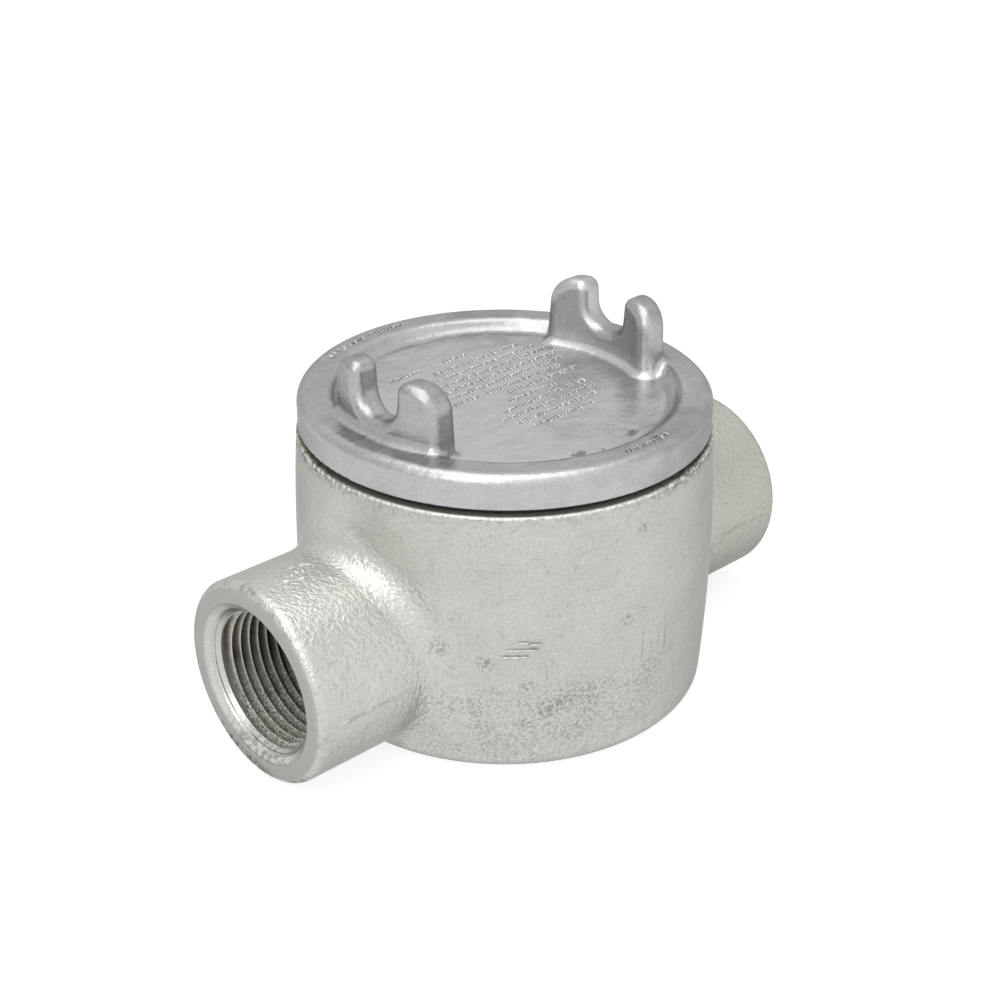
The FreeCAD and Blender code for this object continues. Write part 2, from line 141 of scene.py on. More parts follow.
# aluminium-grey lacquer over the iron casting, pebbled on the hubs and wormy below the mould's joint;
# streaks are (degrees round the pot, top, bottom) and smudges are (degrees, height, reach); a pair holds the
# two edges over which a zone comes in or fades out, as degrees in calm and as depths at the rim and hub face
lacquer = {
    "paint": rgb(0.63, 0.63, 0.59), "shade": rgb(0.40, 0.40, 0.37), "worm": rgb(0.245, 0.244, 0.228),
    "face": rgb(0.43, 0.43, 0.405), "stain": rgb(0.58, 0.54, 0.42), "dirt": rgb(0.10, 0.094, 0.066),
    # deep is the painted shade in the bore and the colour of its scored line; bright is painted light and
    # highlight
    "deep": rgb(0.045, 0.043, 0.03), "bright": rgb(0.90, 0.90, 0.87),
    "metal": 0.72, "gloss": 0.36, "edge": 0.36,
    "tone": {"grain": 0.52, "brushed": 0.20, "broad": 0.14, "patches": 0.14},
    "strength": {"stain": 0.09, "spot": 0.08, "spotPatch": 0.24, "farStainAndShade": 0.22, "farPaintedShade": 0.19,
                 "lowPaintedLight": 0.10, "worm": 0.60, "smudge": 0.80, "streak": 0.50, "ribShade": 0.45,
                 "hubPaintedLight": 0.10, "underPaintedBounce": 0.32, "seam": 0.5, "wear": 0.35, "sideWear": 0.4,
                 "score": 0.35, "scorePatch": 0.5, "boreDirt": 0.6, "rimEdgeHighlight": 0.85, "rimFlatShade": 0.30,
                 "spill": 0.8},
    "relief": {"skin": 0.03, "pebble": 0.26, "grain": 0.008, "worm": 0.14, "swell": 0.12},
    "wall": 46.0, "pictureRight": (0.726, -0.687), "calm": ((-97, -78), (-50, -30)), "calmed": 0.75,
    "joint": 21.8, "jointBelow": 3.5, "jointAbove": 3, "jointSway": 16, "wormFoot": (6, 17),
    "rimTop": 60.25, "rimFlatShade": (0.22, 0.06), "rimEdgeHighlight": (0.75, 0.45), "spill": (3.4, 0.4),
    "spillSides": (24, 40), "faceEdge": (0.35, 0.05), "wornRadius": (20.4, 21.6), "wornOut": (67.4, 69.2),
    "wornSides": (12, 20),
    "hubZone": (25, 34), "hubStart": (31, 42), "farHub": (43, 50), "hubSkin": (24, 28),
    "hubClear": (44, 52), "underside": (4, 16), "undersideStart": (40, 48), "seamStart": (49, 52),
    "seamEnd": (66, 67.6),
    "mouthRadius": 17.9, "mouthEnd": 67.3, "scored": 68.4, "throatEnd": 44.0, "throatStart": 62.0,
    "spoiledEdge": (18.2, 20.8), "spoiledHeight": (4, 12), "spoiledStart": (64, 66), "spoiledSide": (-8, 2),
    "streaks": ((-94.3, 31.1, 21.4), (-85.8, 32.7, 22.1), (-122.2, 27.0, 21.6), (-105.1, 25.1, 21.6),
                (-91.0, 27.5, 22.4), (-100.5, 26.0, 22.3), (-97.2, 25.6, 22.0), (-88.4, 29.0, 22.5)),
    "smudges": ((-95.4, 53.2, 1.8), (-99.9, 33.1, 1.6), (-128.6, 12.0, 1.3), (-126.0, 12.8, 1.4),
                (-123.4, 13.8, 1.6), (-120.8, 15.0, 1.8), (-118.2, 16.2, 1.9), (-115.8, 17.3, 1.6),
                (-138.0, 27.0, 2.2), (-127.0, 21.5, 1.8), (-150.0, 30.0, 2.6)),
}


def makeLacquer(look):
    material, place, feed = startMaterial("grey_lacquer", look["edge"])
    share, much, relief = look["tone"], look["strength"], look["relief"]
    x, y, z = place.axes()
    outward = abs(x)
    fromAxis = z - hubSizes["axis"]
    fromHub = y.hypot(fromAxis)
    nearSide = 1 - x.ease(-1, 1)
    around = y.maths("ARCTAN2", y, x) * look["wall"]
    onFace = outward.ease(*(hubSizes["face"] - depth for depth in look["faceEdge"]))
    onHub = (1 - fromHub.ease(*look["hubZone"])) * outward.ease(*look["hubStart"]) * (1 - onFace)
    broad = place.noise(12, 2)
    rise, fall = [[math.radians(degrees) * look["wall"] for degrees in ends] for ends in look["calm"]]
    calm = around.ease(*rise) * (1 - around.ease(*fall))
    swayed = z + look["jointSway"] * (broad - 0.5)
    low = 1 - swayed.ease(look["joint"] - look["jointBelow"], look["joint"] + look["jointAbove"])
    low = low * (1 - look["calmed"] * calm)
    low = low * (1 - look["calmed"] * (1 - fromHub.ease(*look["hubSkin"])) * outward.ease(*look["hubClear"]))

    grain = place.noise(0.42, 2, 0.6).ease(0.25, 0.75)
    patches = place.noise(6, 3).ease(0.38, 0.62)
    brushed = place.moved(stretch=(0.12, 0.12, 1.6)).noise(0.9, 2)
    tone = share["grain"] * grain + share["brushed"] * brushed
    tone = tone + share["broad"] * broad.ease(0.3, 0.7) + share["patches"] * (1 - 0.6 * patches)
    colour = tone.tint(look["shade"], look["paint"])
    stained = place.moved((9, 1, 4)).noise(4, 3).ease(0.58, 0.72)
    colour = (stained * much["stain"]).tint(colour, look["stain"])
    spotted = place.moved((6, 3, 8)).noise(1.3, 3, 0.6).ease(0.55, 0.68)
    colour = (spotted * (much["spot"] + much["spotPatch"] * patches)).tint(colour, look["worm"])
    # the far hub is tinted yellowish, partly stain and partly painted shade, then darkened with painted shade
    # where the pot shades it
    farHub = x.ease(*look["farHub"])
    colour = (farHub * much["farStainAndShade"]).tint(colour, look["stain"])
    colour = (farHub * much["farPaintedShade"]).tint(colour, look["worm"])

    worm = place.moved((3, 7, 1)).noise(0.62, 1.6, 0.5)
    groove = 1 - worm.ease(0.38, 0.56)
    wormy = groove * low * (0.55 + 0.45 * patches) * (0.78 + 0.22 * z.ease(*look["wormFoot"])) * (1 - onFace)
    # painted light on the lower wall, standing in for light bounced off the floor
    colour = (low * much["lowPaintedLight"]).tint(colour, look["bright"])
    colour = (wormy * much["worm"]).tint(colour, look["worm"])

    fleck = place.moved((1, 8, 2)).noise(0.8, 2, 0.6).ease(0.47, 0.57)
    for degrees, height, reach in look["smudges"]:
        apart = (around - math.radians(degrees) * look["wall"]).hypot(z - height)
        flecked = (1 - apart.ease(0.3 * reach, 1.25 * reach)) * fleck
        colour = (flecked * much["smudge"]).tint(colour, look["worm"])
    for degrees, top, bottom in look["streaks"]:
        aside = abs(around - math.radians(degrees) * look["wall"] + 0.5 * (brushed - 0.5))
        length = z.ease(bottom, bottom + 1) * (1 - z.ease(top - 5, top))
        colour = ((1 - aside.ease(0.06, 0.30)) * length * much["streak"]).tint(colour, look["worm"])
    for start, end, height in potRibs:
        start, end = (math.radians(degrees) * look["wall"] for degrees in (start, end))
        beside = around.ease(start, start + 1) * (1 - around.ease(end - 1, end))
        shaded = (1 - abs(z - height - 0.45).ease(0.10, 0.36)) * beside
        colour = (shaded * much["ribShade"]).tint(colour, look["worm"])
    # painted light on the near hub, and on its underside painted light from the floor's bounce
    underBounce = (1 - z.ease(*look["underside"])) * outward.ease(*look["undersideStart"])
    paintedLight = onHub * much["hubPaintedLight"] + underBounce * much["underPaintedBounce"]
    colour = (paintedLight * nearSide).tint(colour, look["bright"])
    onSkin = fromHub.ease(hubSizes["radius"] - 0.5, hubSizes["radius"] - 0.2)
    seam = (1 - abs(fromAxis + hubSizes["seamDrop"]).ease(0.12, 0.42)) * onSkin * patches
    seam = seam * outward.ease(*look["seamStart"]) * (1 - outward.ease(*look["seamEnd"]))
    colour = (seam * much["seam"]).tint(colour, look["worm"])

    colour = onFace.tint(colour, look["face"])
    worn = place.noise(3.4, 4, 0.65).ease(0.50, 0.66)
    edgeWear = fromHub.ease(*look["wornRadius"]) * outward.ease(*look["wornOut"]) * worn
    edgeWear = edgeWear * (much["wear"] + much["sideWear"] * abs(fromAxis).ease(*look["wornSides"]))
    colour = edgeWear.tint(colour, look["worm"])
    inBore = 1 - fromHub.ease(look["mouthRadius"] - 0.1, look["mouthRadius"] + 0.1)
    inBore = inBore * outward.ease(look["throatEnd"], look["throatEnd"] + 2)
    scored = (1 - abs(outward - look["scored"]).ease(0.04, 0.16)) * inBore
    # painted shade, darker deeper into the bore
    boreShade = inBore * (1 - outward.ease(look["throatStart"], look["mouthEnd"] - 0.2))
    colour = boreShade.tint(colour, look["deep"])
    colour = (scored * (much["score"] + much["scorePatch"] * patches)).tint(colour, look["deep"])
    spoiled = outward.ease(*look["spoiledStart"]) * (1 - z.ease(*look["spoiledHeight"]))
    spoiled = spoiled * place.moved((7, 2, 2)).noise(1.5, 4, 0.65).ease(0.42, 0.58)
    spoiledEdge = fromHub.ease(*look["spoiledEdge"]) * y.ease(*look["spoiledSide"]) * nearSide
    colour = (spoiled * (inBore * much["boreDirt"] + spoiledEdge)).tint(colour, look["dirt"])

    right, ahead = look["pictureRight"]
    sideways = abs(right * x + ahead * y)
    flatShade, edge, spill = (z.ease(*(look["rimTop"] - depth for depth in look[part])) for part in
                         ("rimFlatShade", "rimEdgeHighlight", "spill"))
    edge = edge * (1 - flatShade) * place.noise(0.8).ease(0.34, 0.56)
    spill = spill * (0.25 + 0.75 * sideways.ease(*look["spillSides"]))
    spill = spill * place.moved((5, 5, 5)).noise(0.9, 3, 0.6).ease(0.44, 0.60)
    # painted highlight along the rim's rounded edge
    colour = (edge * much["rimEdgeHighlight"]).tint(colour, look["bright"])
    # painted shade on the rim's flat top, under the cover's flange
    colour = (flatShade * much["rimFlatShade"]).tint(colour, look["dirt"])
    colour = (spill * much["spill"]).tint(colour, look["dirt"])

    pebble = place.noise(1.0, 2, 0.55) * (relief["skin"] + relief["pebble"] * onHub * (1 - inBore))
    height = pebble + grain * relief["grain"] + worm * low * relief["worm"]
    height = height + place.noise(8, 1) * relief["swell"]
    rough = look["gloss"] - 0.08 * onHub + 0.08 * patches + 0.12 * wormy
    feed(height, Base_Color=colour, Roughness=rough, Metallic=look["metal"] * (1 - 0.85 * boreShade))
    return material


# cover as cast and tumbled, satin; blemishes, clouds with painted shade, and places of painted sheen are
# (across, along, reach)
castAluminium = {
    "bright": rgb(0.61, 0.61, 0.61), "dull": rgb(0.385, 0.385, 0.385),
    "smudge": rgb(0.16, 0.16, 0.155), "shine": rgb(0.75, 0.75, 0.75), "gloss": 0.25, "edge": 0.5,
    "tone": {"mottle": 0.16, "grain": 0.34, "wiped": 0.16, "recess": 0.56},
    "strength": {"blemish": 0.7, "cloudAndShade": 0.14, "paintedSheen": 0.5, "lugShade": 0.17, "pore": 0.35},
    "relief": {"grain": 0.008, "ripple": 0.07, "mottle": 0.20, "pore": 0.03},
    "recessEdge": (33, 36), "recessTop": (67.5, 70.5), "lugShadeFrom": (68.5, 71),
    "blemishes": ((6.3, -31.6, 1.7), (-8.8, -31.3, 1.7), (-3.5, -33.0, 0.8), (3.8, -40.2, 1.2),
                  (-20.4, -31.0, 1.2)),
    "cloudsAndShade": ((-40.5, -4.5, 4.5), (14, -8, 9), (24, 17, 7), (-12, 26, 8), (-2, -22, 8), (8, -46, 20),
               (14, -44, 20), (20, 30, 14), (24, 32, 14), (36, -10.5, 6), (-31, -8.6, 8)),
    "paintedSheen": ((21, -20, 15), (31, 9, 8)),
}


def makeAluminium(look):
    material, place, feed = startMaterial("cast_aluminium", look["edge"])
    share, much, relief = look["tone"], look["strength"], look["relief"]
    x, y, z = place.axes()
    mottle = place.noise(5, 4, 0.6)
    grain = place.noise(0.45, 2, 0.6).ease(0.25, 0.75)
    wiped = place.moved(stretch=(0.22, 1, 1)).noise(1.6, 3, 0.6).ease(0.3, 0.7)
    # painted light brightening the cover's recessed floor
    recessed = (1 - x.hypot(y).ease(*look["recessEdge"])) * (1 - z.ease(*look["recessTop"]))
    tone = share["mottle"] * mottle.ease(0.25, 0.75) + share["grain"] * grain
    tone = tone + share["wiped"] * wiped + share["recess"] * recessed
    colour = tone.tint(look["dull"], look["bright"])
    ragged = place.moved((4, 1, 9)).noise(0.7, 3, 0.6)
    for across, along, reach in look["blemishes"]:
        apart = (x - across).hypot((y - along) * 1.4) / reach + (ragged - 0.5) * 2.8
        colour = ((1 - apart.ease(0.55, 1.05)) * much["blemish"]).tint(colour, look["smudge"])
    # darker clouds, partly the cover's own uneven tone and partly painted shade and painted dark reflection
    for across, along, reach in look["cloudsAndShade"]:
        apart = (x - across).hypot(y - along) / reach + (mottle - 0.5) * 1.5
        colour = ((1 - apart.ease(0.2, 1.0)) * much["cloudAndShade"]).tint(colour, look["smudge"])
    # painted sheen brightening places of the floor
    for across, along, reach in look["paintedSheen"]:
        apart = (x - across).hypot(y - along) / reach + (mottle - 0.5)
        colour = ((1 - apart.ease(0.2, 1.0)) * much["paintedSheen"]).tint(colour, look["shine"])
    # painted shade darkening the lugs
    lugShade = z.ease(*look["lugShadeFrom"])
    colour = (lugShade * much["lugShade"]).tint(colour, look["smudge"])
    pore = place.moved((2, 2, 2)).cells(1.9).ease(0.05, 0.16)
    pores = (1 - pore) * place.noise(9).ease(0.5, 0.62)
    colour = (pores * much["pore"]).tint(colour, look["smudge"])
    height = grain * relief["grain"] + place.noise(1.8, 2) * relief["ripple"]
    height = height + mottle * relief["mottle"] - pores * relief["pore"]
    feed(height, Base_Color=colour, Roughness=look["gloss"] + 0.12 * mottle + 0.08 * wiped, Metallic=1.0)
    return material


# cut threads: oily and gritty in the hubs, brighter on the cover's neck; painted shade darkens them from the
# second fade distance to the first, and a painted highlight runs along a crest, which has its radius at one
# distance
cutThread = {
    "hub": {"metal": rgb(0.46, 0.445, 0.39), "grimeAndShade": rgb(0.07, 0.066, 0.044), "paintedGlint": rgb(0.75, 0.74, 0.68),
            "grit": 1.0, "fade": (48, 64), "crest": {"radius": 14.82, "from": 67.7}},
    "neck": {"metal": rgb(0.62, 0.62, 0.62), "grimeAndShade": rgb(0.38, 0.38, 0.37), "paintedGlint": rgb(0.7, 0.7, 0.7),
             "grit": 0.15, "fade": (-2, -1)},
    "body": {"metal": rgb(0.46, 0.45, 0.42), "grimeAndShade": rgb(0.20, 0.19, 0.16), "paintedGlint": rgb(0.6, 0.6, 0.56),
             "grit": 0.4, "fade": (-2, -1)},
}
# heights below which grit settles, and how strong each layer is; the fade layer is painted shade, the crest
# layer a painted highlight and the glint layer painted glints among the grit
threadWear = {
    "settle": (9, 21), "film": 0.45, "crest": 0.55, "fade": 0.95, "settled": 0.08, "grit": 0.85, "paintedGlint": 0.8,
}


def makeCutThread(name, look, wear):
    material, place, feed = startMaterial(name + "_thread")
    x, y, z = place.axes()
    grain = place.noise(0.55, 3, 0.65)
    settled = (1 - z.ease(*wear["settle"])) * look["grit"]
    grit = grain.ease(0.46, 0.60) * (0.15 * look["grit"] + 0.75 * settled)
    film = place.noise(5, 3).ease(0.40, 0.72) * look["grit"]
    colour = (film * wear["film"]).tint(look["metal"], look["grimeAndShade"])
    # painted highlight along the crests
    if "crest" in look:
        tip = look["crest"]
        fromAxis = y.hypot(z - hubSizes["axis"])
        above = fromAxis - tip["radius"] + (tip["from"] - abs(x)) * hubSizes["taper"]
        colour = ((1 - above.ease(0.05, 0.26)) * wear["crest"]).tint(colour, look["paintedGlint"])
    # painted shade, darker deeper into the hub's bore
    threadShade = (1 - abs(x).ease(*look["fade"])) * (wear["fade"] - 0.5 * settled)
    colour = threadShade.tint(colour, look["grimeAndShade"])
    colour = (settled * wear["settled"]).tint(colour, look["grimeAndShade"])
    colour = (grit * wear["grit"]).tint(colour, look["grimeAndShade"])
    # painted glints among the settled grit
    paintedGlint = place.moved((3, 3, 3)).noise(0.42, 1, 0.5).ease(0.60, 0.64) * settled
    colour = (paintedGlint * wear["paintedGlint"]).tint(colour, look["paintedGlint"])
    feed(grain * (0.015 + 0.12 * settled), Base_Color=colour, Roughness=0.32 + 0.3 * grit,
         Metallic=0.75 - 0.6 * settled)
    return material


rubber = {"colour": rgb(0.012, 0.012, 0.012), "bloom": rgb(0.03, 0.03, 0.029), "gloss": 0.62, "dusty": 0.2}


def makeRubber(look):
    material, place, feed = startMaterial("black_rubber")
    dust = place.noise(2.5, 3).ease(0.45, 0.75)
    colour = dust.tint(look["colour"], look["bloom"])
    feed(place.noise(0.4) * 0.01, Base_Color=colour, Roughness=look["gloss"] + look["dusty"] * dust)
    return material


greenPlating = {"green": rgb(0.05, 0.27, 0.10), "worn": rgb(0.55, 0.55, 0.50), "gloss": 0.3, "metal": 0.75}


def makeGreenPlating(look):
    material, place, feed = startMaterial("green_plating")
    worn = place.noise(1.1, 3).ease(0.58, 0.72)
    scuff = place.noise(0.3, 2)
    colour = (worn * 0.5).tint(look["green"], look["worn"])
    feed(scuff * 0.01, Base_Color=colour, Roughness=look["gloss"] + 0.15 * scuff, Metallic=look["metal"])
    return material


lacquerFinish = makeLacquer(lacquer)
aluminiumFinish = makeAluminium(castAluminium)
threadFinish = {name: makeCutThread(name, look, threadWear) for name, look in cutThread.items()}
finishes = {
    "box_body": lacquerFinish, "cover": aluminiumFinish,
    "cover_gasket": makeRubber(rubber), "ground_screw": makeGreenPlating(greenPlating),
}
for name, finish in finishes.items():
    nodes[name].data.materials.clear()
    nodes[name].data.materials.append(finish)
print("finishes:", ", ".join(material.name for material in finishes.values()))


# geometry trees: named inputs, then realised and given the material
def startTree(name, inputs):
    tree = bpy.data.node_groups.new(name, "GeometryNodeTree")
    kinds = {"Geometry": "Geometry", "Material": "Material", **inputs}
    for label, kind in kinds.items():
        tree.interface.new_socket(label, in_out="INPUT", socket_type="NodeSocket" + kind)
    tree.interface.new_socket("Geometry", in_out="OUTPUT", socket_type="NodeSocketGeometry")
    given = tree.nodes.new("NodeGroupInput")
    return tree, {label: Wire(tree, given.outputs[label]) for label in kinds}


def endTree(tree, given, shape):
    solid = shape.node("GeometryNodeRealizeInstances", {}, {0: shape})
    dressed = solid.node("GeometryNodeSetMaterial", {}, {"Geometry": solid, "Material": given["Material"]})
    tree.links.new(dressed.socket, tree.nodes.new("NodeGroupOutput").inputs[0])
    return tree


# paths are lists of points in millimetres
def startMesh(paths, closed=False):
    mesh = bpy.data.meshes.new("start")
    points, sides = [], []
    for path in paths:
        first, last = len(points), len(points) + len(path) - 1
        points += [Vector((*point, 0)[:3]) * mm for point in path]
        sides += [(i, i + 1) for i in range(first, last)] + ([(last, first)] if closed else [])
    mesh.from_pydata(points, sides, [])
    return mesh


def grow(name, tree, mesh, material, sizes, body, sharpFrom=35):
    piece = bpy.data.objects.new(name, mesh)
    modifier = piece.modifiers.new("grow", "NODES")
    modifier.node_group = tree
    values = {"Material": material, **sizes}
    for socket in tree.interface.items_tree:
        if socket.in_out == "INPUT" and socket.name in values:
            modifier[socket.identifier] = values[socket.name]
    scene.collection.objects.link(piece)
    settled = piece.evaluated_get(bpy.context.evaluated_depsgraph_get())
    grown = bpy.data.meshes.new_from_object(settled)
    piece.modifiers.clear()
    piece.data = grown
    grown.name = name
    grown.set_sharp_from_angle(angle=math.radians(sharpFrom))
    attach(piece, body)
    print(f"{name}: {len(grown.polygons)} faces")
    return piece


# inputs that the turned pieces share
placing = {"Steps": "Int", "Place": "Vector", "Rotation": "Rotation"}
# ridge of a thread: degrees of a flank, and the rounded tip as shares of its height and crest
ridgeShape = {"flank": 30, "shoulder": 0.93, "shoulderWidth": 1.5, "tipWidth": 0.7, "thinnest": 0.04}


def makeThreadTree(thinnest):
    floats = dict.fromkeys(("Pitch", "Turns", "Start Radius", "End Radius", "Run Out"), "Float")
    tree, given = startTree("helical_ridge", {**floats, **placing})
    turns = given["Turns"]
    helix = turns.node("GeometryNodeCurveSpiral", {}, {
        "Resolution": given["Steps"], "Rotations": turns, "Start Radius": given["Start Radius"],
        "End Radius": given["End Radius"], "Height": given["Pitch"] * turns, "Reverse": True})
    level = helix.node("GeometryNodeSetCurveNormal", {"mode": "Z_UP"}, {0: helix})
    along = turns * helix.node("GeometryNodeSplineParameter", output="Factor")
    toEnd = along.maths("MINIMUM", along, turns - along)
    fade = thinnest + (1 - thinnest) * (toEnd / given["Run Out"]).ease(0, 1)
    profile = helix.node("GeometryNodeMeshToCurve", {}, {0: given["Geometry"]})
    ridge = helix.node("GeometryNodeCurveToMesh", {}, {
        "Curve": level, "Profile Curve": profile, "Scale": fade, "Fill Caps": True})
    placed = ridge.node("GeometryNodeTransform", {}, {
        "Geometry": ridge, "Translation": given["Place"], "Rotation": given["Rotation"]})
    return endTree(tree, given, placed)


# truncated 60 degree ridge, with a root that is sunk in the wall; side is 1 outward and -1 inward
def ridgeProfile(height, crest, sunk, side, rootLimit):
    tip = crest / 2
    root = min(tip + height * math.tan(math.radians(ridgeShape["flank"])), rootLimit / 2)
    shoulder = height * ridgeShape["shoulder"]
    wide = tip * ridgeShape["shoulderWidth"]
    narrow = tip * ridgeShape["tipWidth"]
    points = [(-sunk, -root), (0, -root), (shoulder, -wide), (height, -narrow),
              (height, narrow), (shoulder, wide), (0, root), (-sunk, root)]
    if side < 0:
        points = [(-out, along) for out, along in reversed(points)]
    return startMesh([points], closed=True)


# hubs by name, and the side of the box that each is on
hubSides = {"right": 1, "left": -1}


# place in a hub's bore, with the way into the box as up
def intoHub(side, fromFace):
    start = Vector((side * (hubSizes["face"] - fromFace), 0, hubSizes["axis"])) * mm
    return {"Place": start, "Rotation": (0, math.radians(-90 * side), 0)}


# the widest root is a share of the pitch, so that neighbouring turns stay apart
rootShare = 0.95
hubThread = {
    "pitch": 2.2088, "turns": 8.8, "fromFace": 2.5, "height": 1.6, "crest": 0.2, "sunk": 0.7,
    "runOut": 0.5, "steps": 96,
}
coverThread = {
    "pitch": 3.175, "height": 1.6, "crest": 0.4, "sunk": 0.3, "runOut": 0.5, "steps": 120,
    "bodyWall": 40.62, "bodyStart": 41.65, "bodyTurns": 5.25,
    "neckWall": 38.78, "neckStart": 45.6625, "neckTurns": 4.3,
}


def makeHubThreads(tree, hub):
    wall = hubSizes["bore"]
    length = hub["pitch"] * hub["turns"]
    sizes = {
        "Pitch": hub["pitch"] * mm, "Turns": hub["turns"], "Run Out": hub["runOut"], "Steps": hub["steps"],
        "Start Radius": wall * mm, "End Radius": (wall - length * hubSizes["taper"]) * mm,
    }
    for name, side in hubSides.items():
        profile = ridgeProfile(hub["height"], hub["crest"], hub["sunk"], -1, hub["pitch"] * rootShare)
        placed = {**sizes, **intoHub(side, hub["fromFace"])}
        grow("hub_thread_" + name, tree, profile, threadFinish["hub"], placed, "box")


def makeCoverThreads(tree, cap):
    owners = (("body", -1, "box", "body_casting"), ("neck", 1, "cover", "cover_casting"))
    for name, side, body, slot in owners:
        profile = ridgeProfile(cap["height"], cap["crest"], cap["sunk"], side, cap["pitch"] * rootShare)
        wall = cap[name + "Wall"] * mm
        grow(name + "_thread", tree, profile, threadFinish[name], {
            "Pitch": cap["pitch"] * mm, "Turns": cap[name + "Turns"], "Run Out": cap["runOut"],
            "Start Radius": wall, "End Radius": wall, "Steps": cap["steps"],
            "Place": (0, 0, cap[name + "Start"] * mm)}, body)


threadTree = makeThreadTree(ridgeShape["thinnest"])
makeHubThreads(threadTree, hubThread)
makeCoverThreads(threadTree, coverThread)


# bevel that the first turns of the hub's thread run out in
hubBevel = {
    "fromFace": 1.2, "depth": 1.65, "rise": 1.2, "sunk": 0.4, "lip": 0.1, "foot": 0.6, "steps": 128,
}


def makeRingTree():
    tree, given = startTree("turned_ring", {"Radius": "Float", **placing})
    circle = given["Radius"].node("GeometryNodeCurvePrimitiveCircle", {}, {
        "Resolution": given["Steps"], "Radius": given["Radius"]})
    level = circle.node("GeometryNodeSetCurveNormal", {"mode": "Z_UP"}, {0: circle})
    profile = circle.node("GeometryNodeMeshToCurve", {}, {0: given["Geometry"]})
    ring = circle.node("GeometryNodeCurveToMesh", {}, {"Curve": level, "Profile Curve": profile})
    placed = ring.node("GeometryNodeTransform", {}, {
        "Geometry": ring, "Translation": given["Place"], "Rotation": given["Rotation"]})
    return endTree(tree, given, placed)


def makeBevels(look):
    tree = makeRingTree()
    rise, depth, sunk = look["rise"], look["depth"], look["sunk"]
    outline = [(sunk, 0), (0, 0), (-rise, -depth)]
    outline += [(-rise, -depth - look["lip"]), (sunk, -depth - look["foot"])]
    sizes = {"Radius": hubSizes["bore"] * mm, "Steps": look["steps"]}
    for name, side in hubSides.items():
        mesh = startMesh([outline], closed=True)
        placed = {**sizes, **intoHub(side, look["fromFace"])}
        grow("hub_bevel_" + name, tree, mesh, lacquerFinish, placed, "box")


makeBevels(hubBevel)


# round bead half sunk in the surface, with ends that fade and an uneven height
beadShape = {"sides": 12, "thinnest": 0.05, "unevenness": 1.6}


def sweepBead(path, given):
    thinnest = beadShape["thinnest"]
    level = path.node("GeometryNodeSetCurveNormal", {"mode": "Z_UP"}, {0: path})
    done = level.node("GeometryNodeSplineParameter", output="Length")
    total = level.node("GeometryNodeSplineLength", output="Length")
    tapered = (done.maths("MINIMUM", done, total - done) / given["Fade"]).ease(0, 1)
    uneven = level.node("GeometryNodeInputPosition").noise(beadShape["unevenness"] * mm, 2).ease(0.3, 0.7)
    scale = (thinnest + (1 - thinnest) * tapered) * (1 - given["Waver"] * uneven)
    ring = level.node("GeometryNodeCurvePrimitiveCircle", {}, {"Resolution": beadShape["sides"], "Radius": 1})
    profile = ring.node("GeometryNodeTransform", {}, {"Geometry": ring, "Scale": given["Section"]})
    return level.node("GeometryNodeCurveToMesh", {}, {
        "Curve": level, "Profile Curve": profile, "Scale": scale, "Fill Caps": True})


def makeBeadTree():
    floats = dict.fromkeys(("Fade", "Waver", "Step"), "Float")
    tree, given = startTree("raised_bead", {"Section": "Vector", **floats})
    path = given["Step"].node("GeometryNodeMeshToCurve", {}, {0: given["Geometry"]})
    spacing = {"Curve": path, "Length": given["Step"]}
    even = path.node("GeometryNodeResampleCurve", {"mode": "LENGTH"}, spacing)
    return endTree(tree, given, sweepBead(even, given))


# strokes along and across each row, some left out, so that a row reads as worn cast marks
def makeMarksTree():
    floats = dict.fromkeys(("Fade", "Waver", "Pitch", "Shortest", "Longest", "Kept", "Upright"), "Float")
    tree, given = startTree("raised_marks", {"Section": "Vector", **floats, "Seed": "Int"})
    row = given["Seed"].node("GeometryNodeMeshToCurve", {}, {0: given["Geometry"]})
    spacing = {"Curve": row, "Length": given["Pitch"]}
    spots = row.node("GeometryNodeResampleCurve", {"mode": "LENGTH"}, spacing)

    def chance(share, shift):
        draw = {"Probability": share, "Seed": given["Seed"] + shift}
        return spots.node("FunctionNodeRandomValue", {"data_type": "BOOLEAN"}, draw, "Value")

    upright = chance(given["Upright"], 1)
    heading = spots.node("FunctionNodeAlignRotationToVector", {"axis": "X"}, {
        "Vector": spots.node("GeometryNodeInputTangent")})
    quarter = spots.node("ShaderNodeCombineXYZ", {}, {"Z": upright * math.radians(90)})
    turned = heading.node("FunctionNodeRotateRotation", {"rotation_space": "LOCAL"}, {
        "Rotation": heading, "Rotate By": quarter.node("FunctionNodeEulerToRotation", {}, {0: quarter})})
    length = spots.node("FunctionNodeRandomValue", {"data_type": "FLOAT"}, {
        2: given["Shortest"], 3: given["Longest"], "Seed": given["Seed"]}, 1) * (1 + 0.6 * upright)
    line = row.node("GeometryNodeCurvePrimitiveLine", {}, {"Start": (-0.5, 0, 0), "End": (0.5, 0, 0)})
    stroke = line.node("GeometryNodeResampleCurve", {"mode": "COUNT"}, {"Curve": line, "Count": 7})
    placed = spots.node("GeometryNodeInstanceOnPoints", {}, {
        "Points": spots, "Selection": chance(given["Kept"], 2), "Instance": stroke, "Rotation": turned,
        "Scale": spots.node("ShaderNodeCombineXYZ", {}, {"X": length, "Y": 1, "Z": 1})})
    strokes = placed.node("GeometryNodeRealizeInstances", {}, {0: placed})
    return endTree(tree, given, sweepBead(strokes, given))


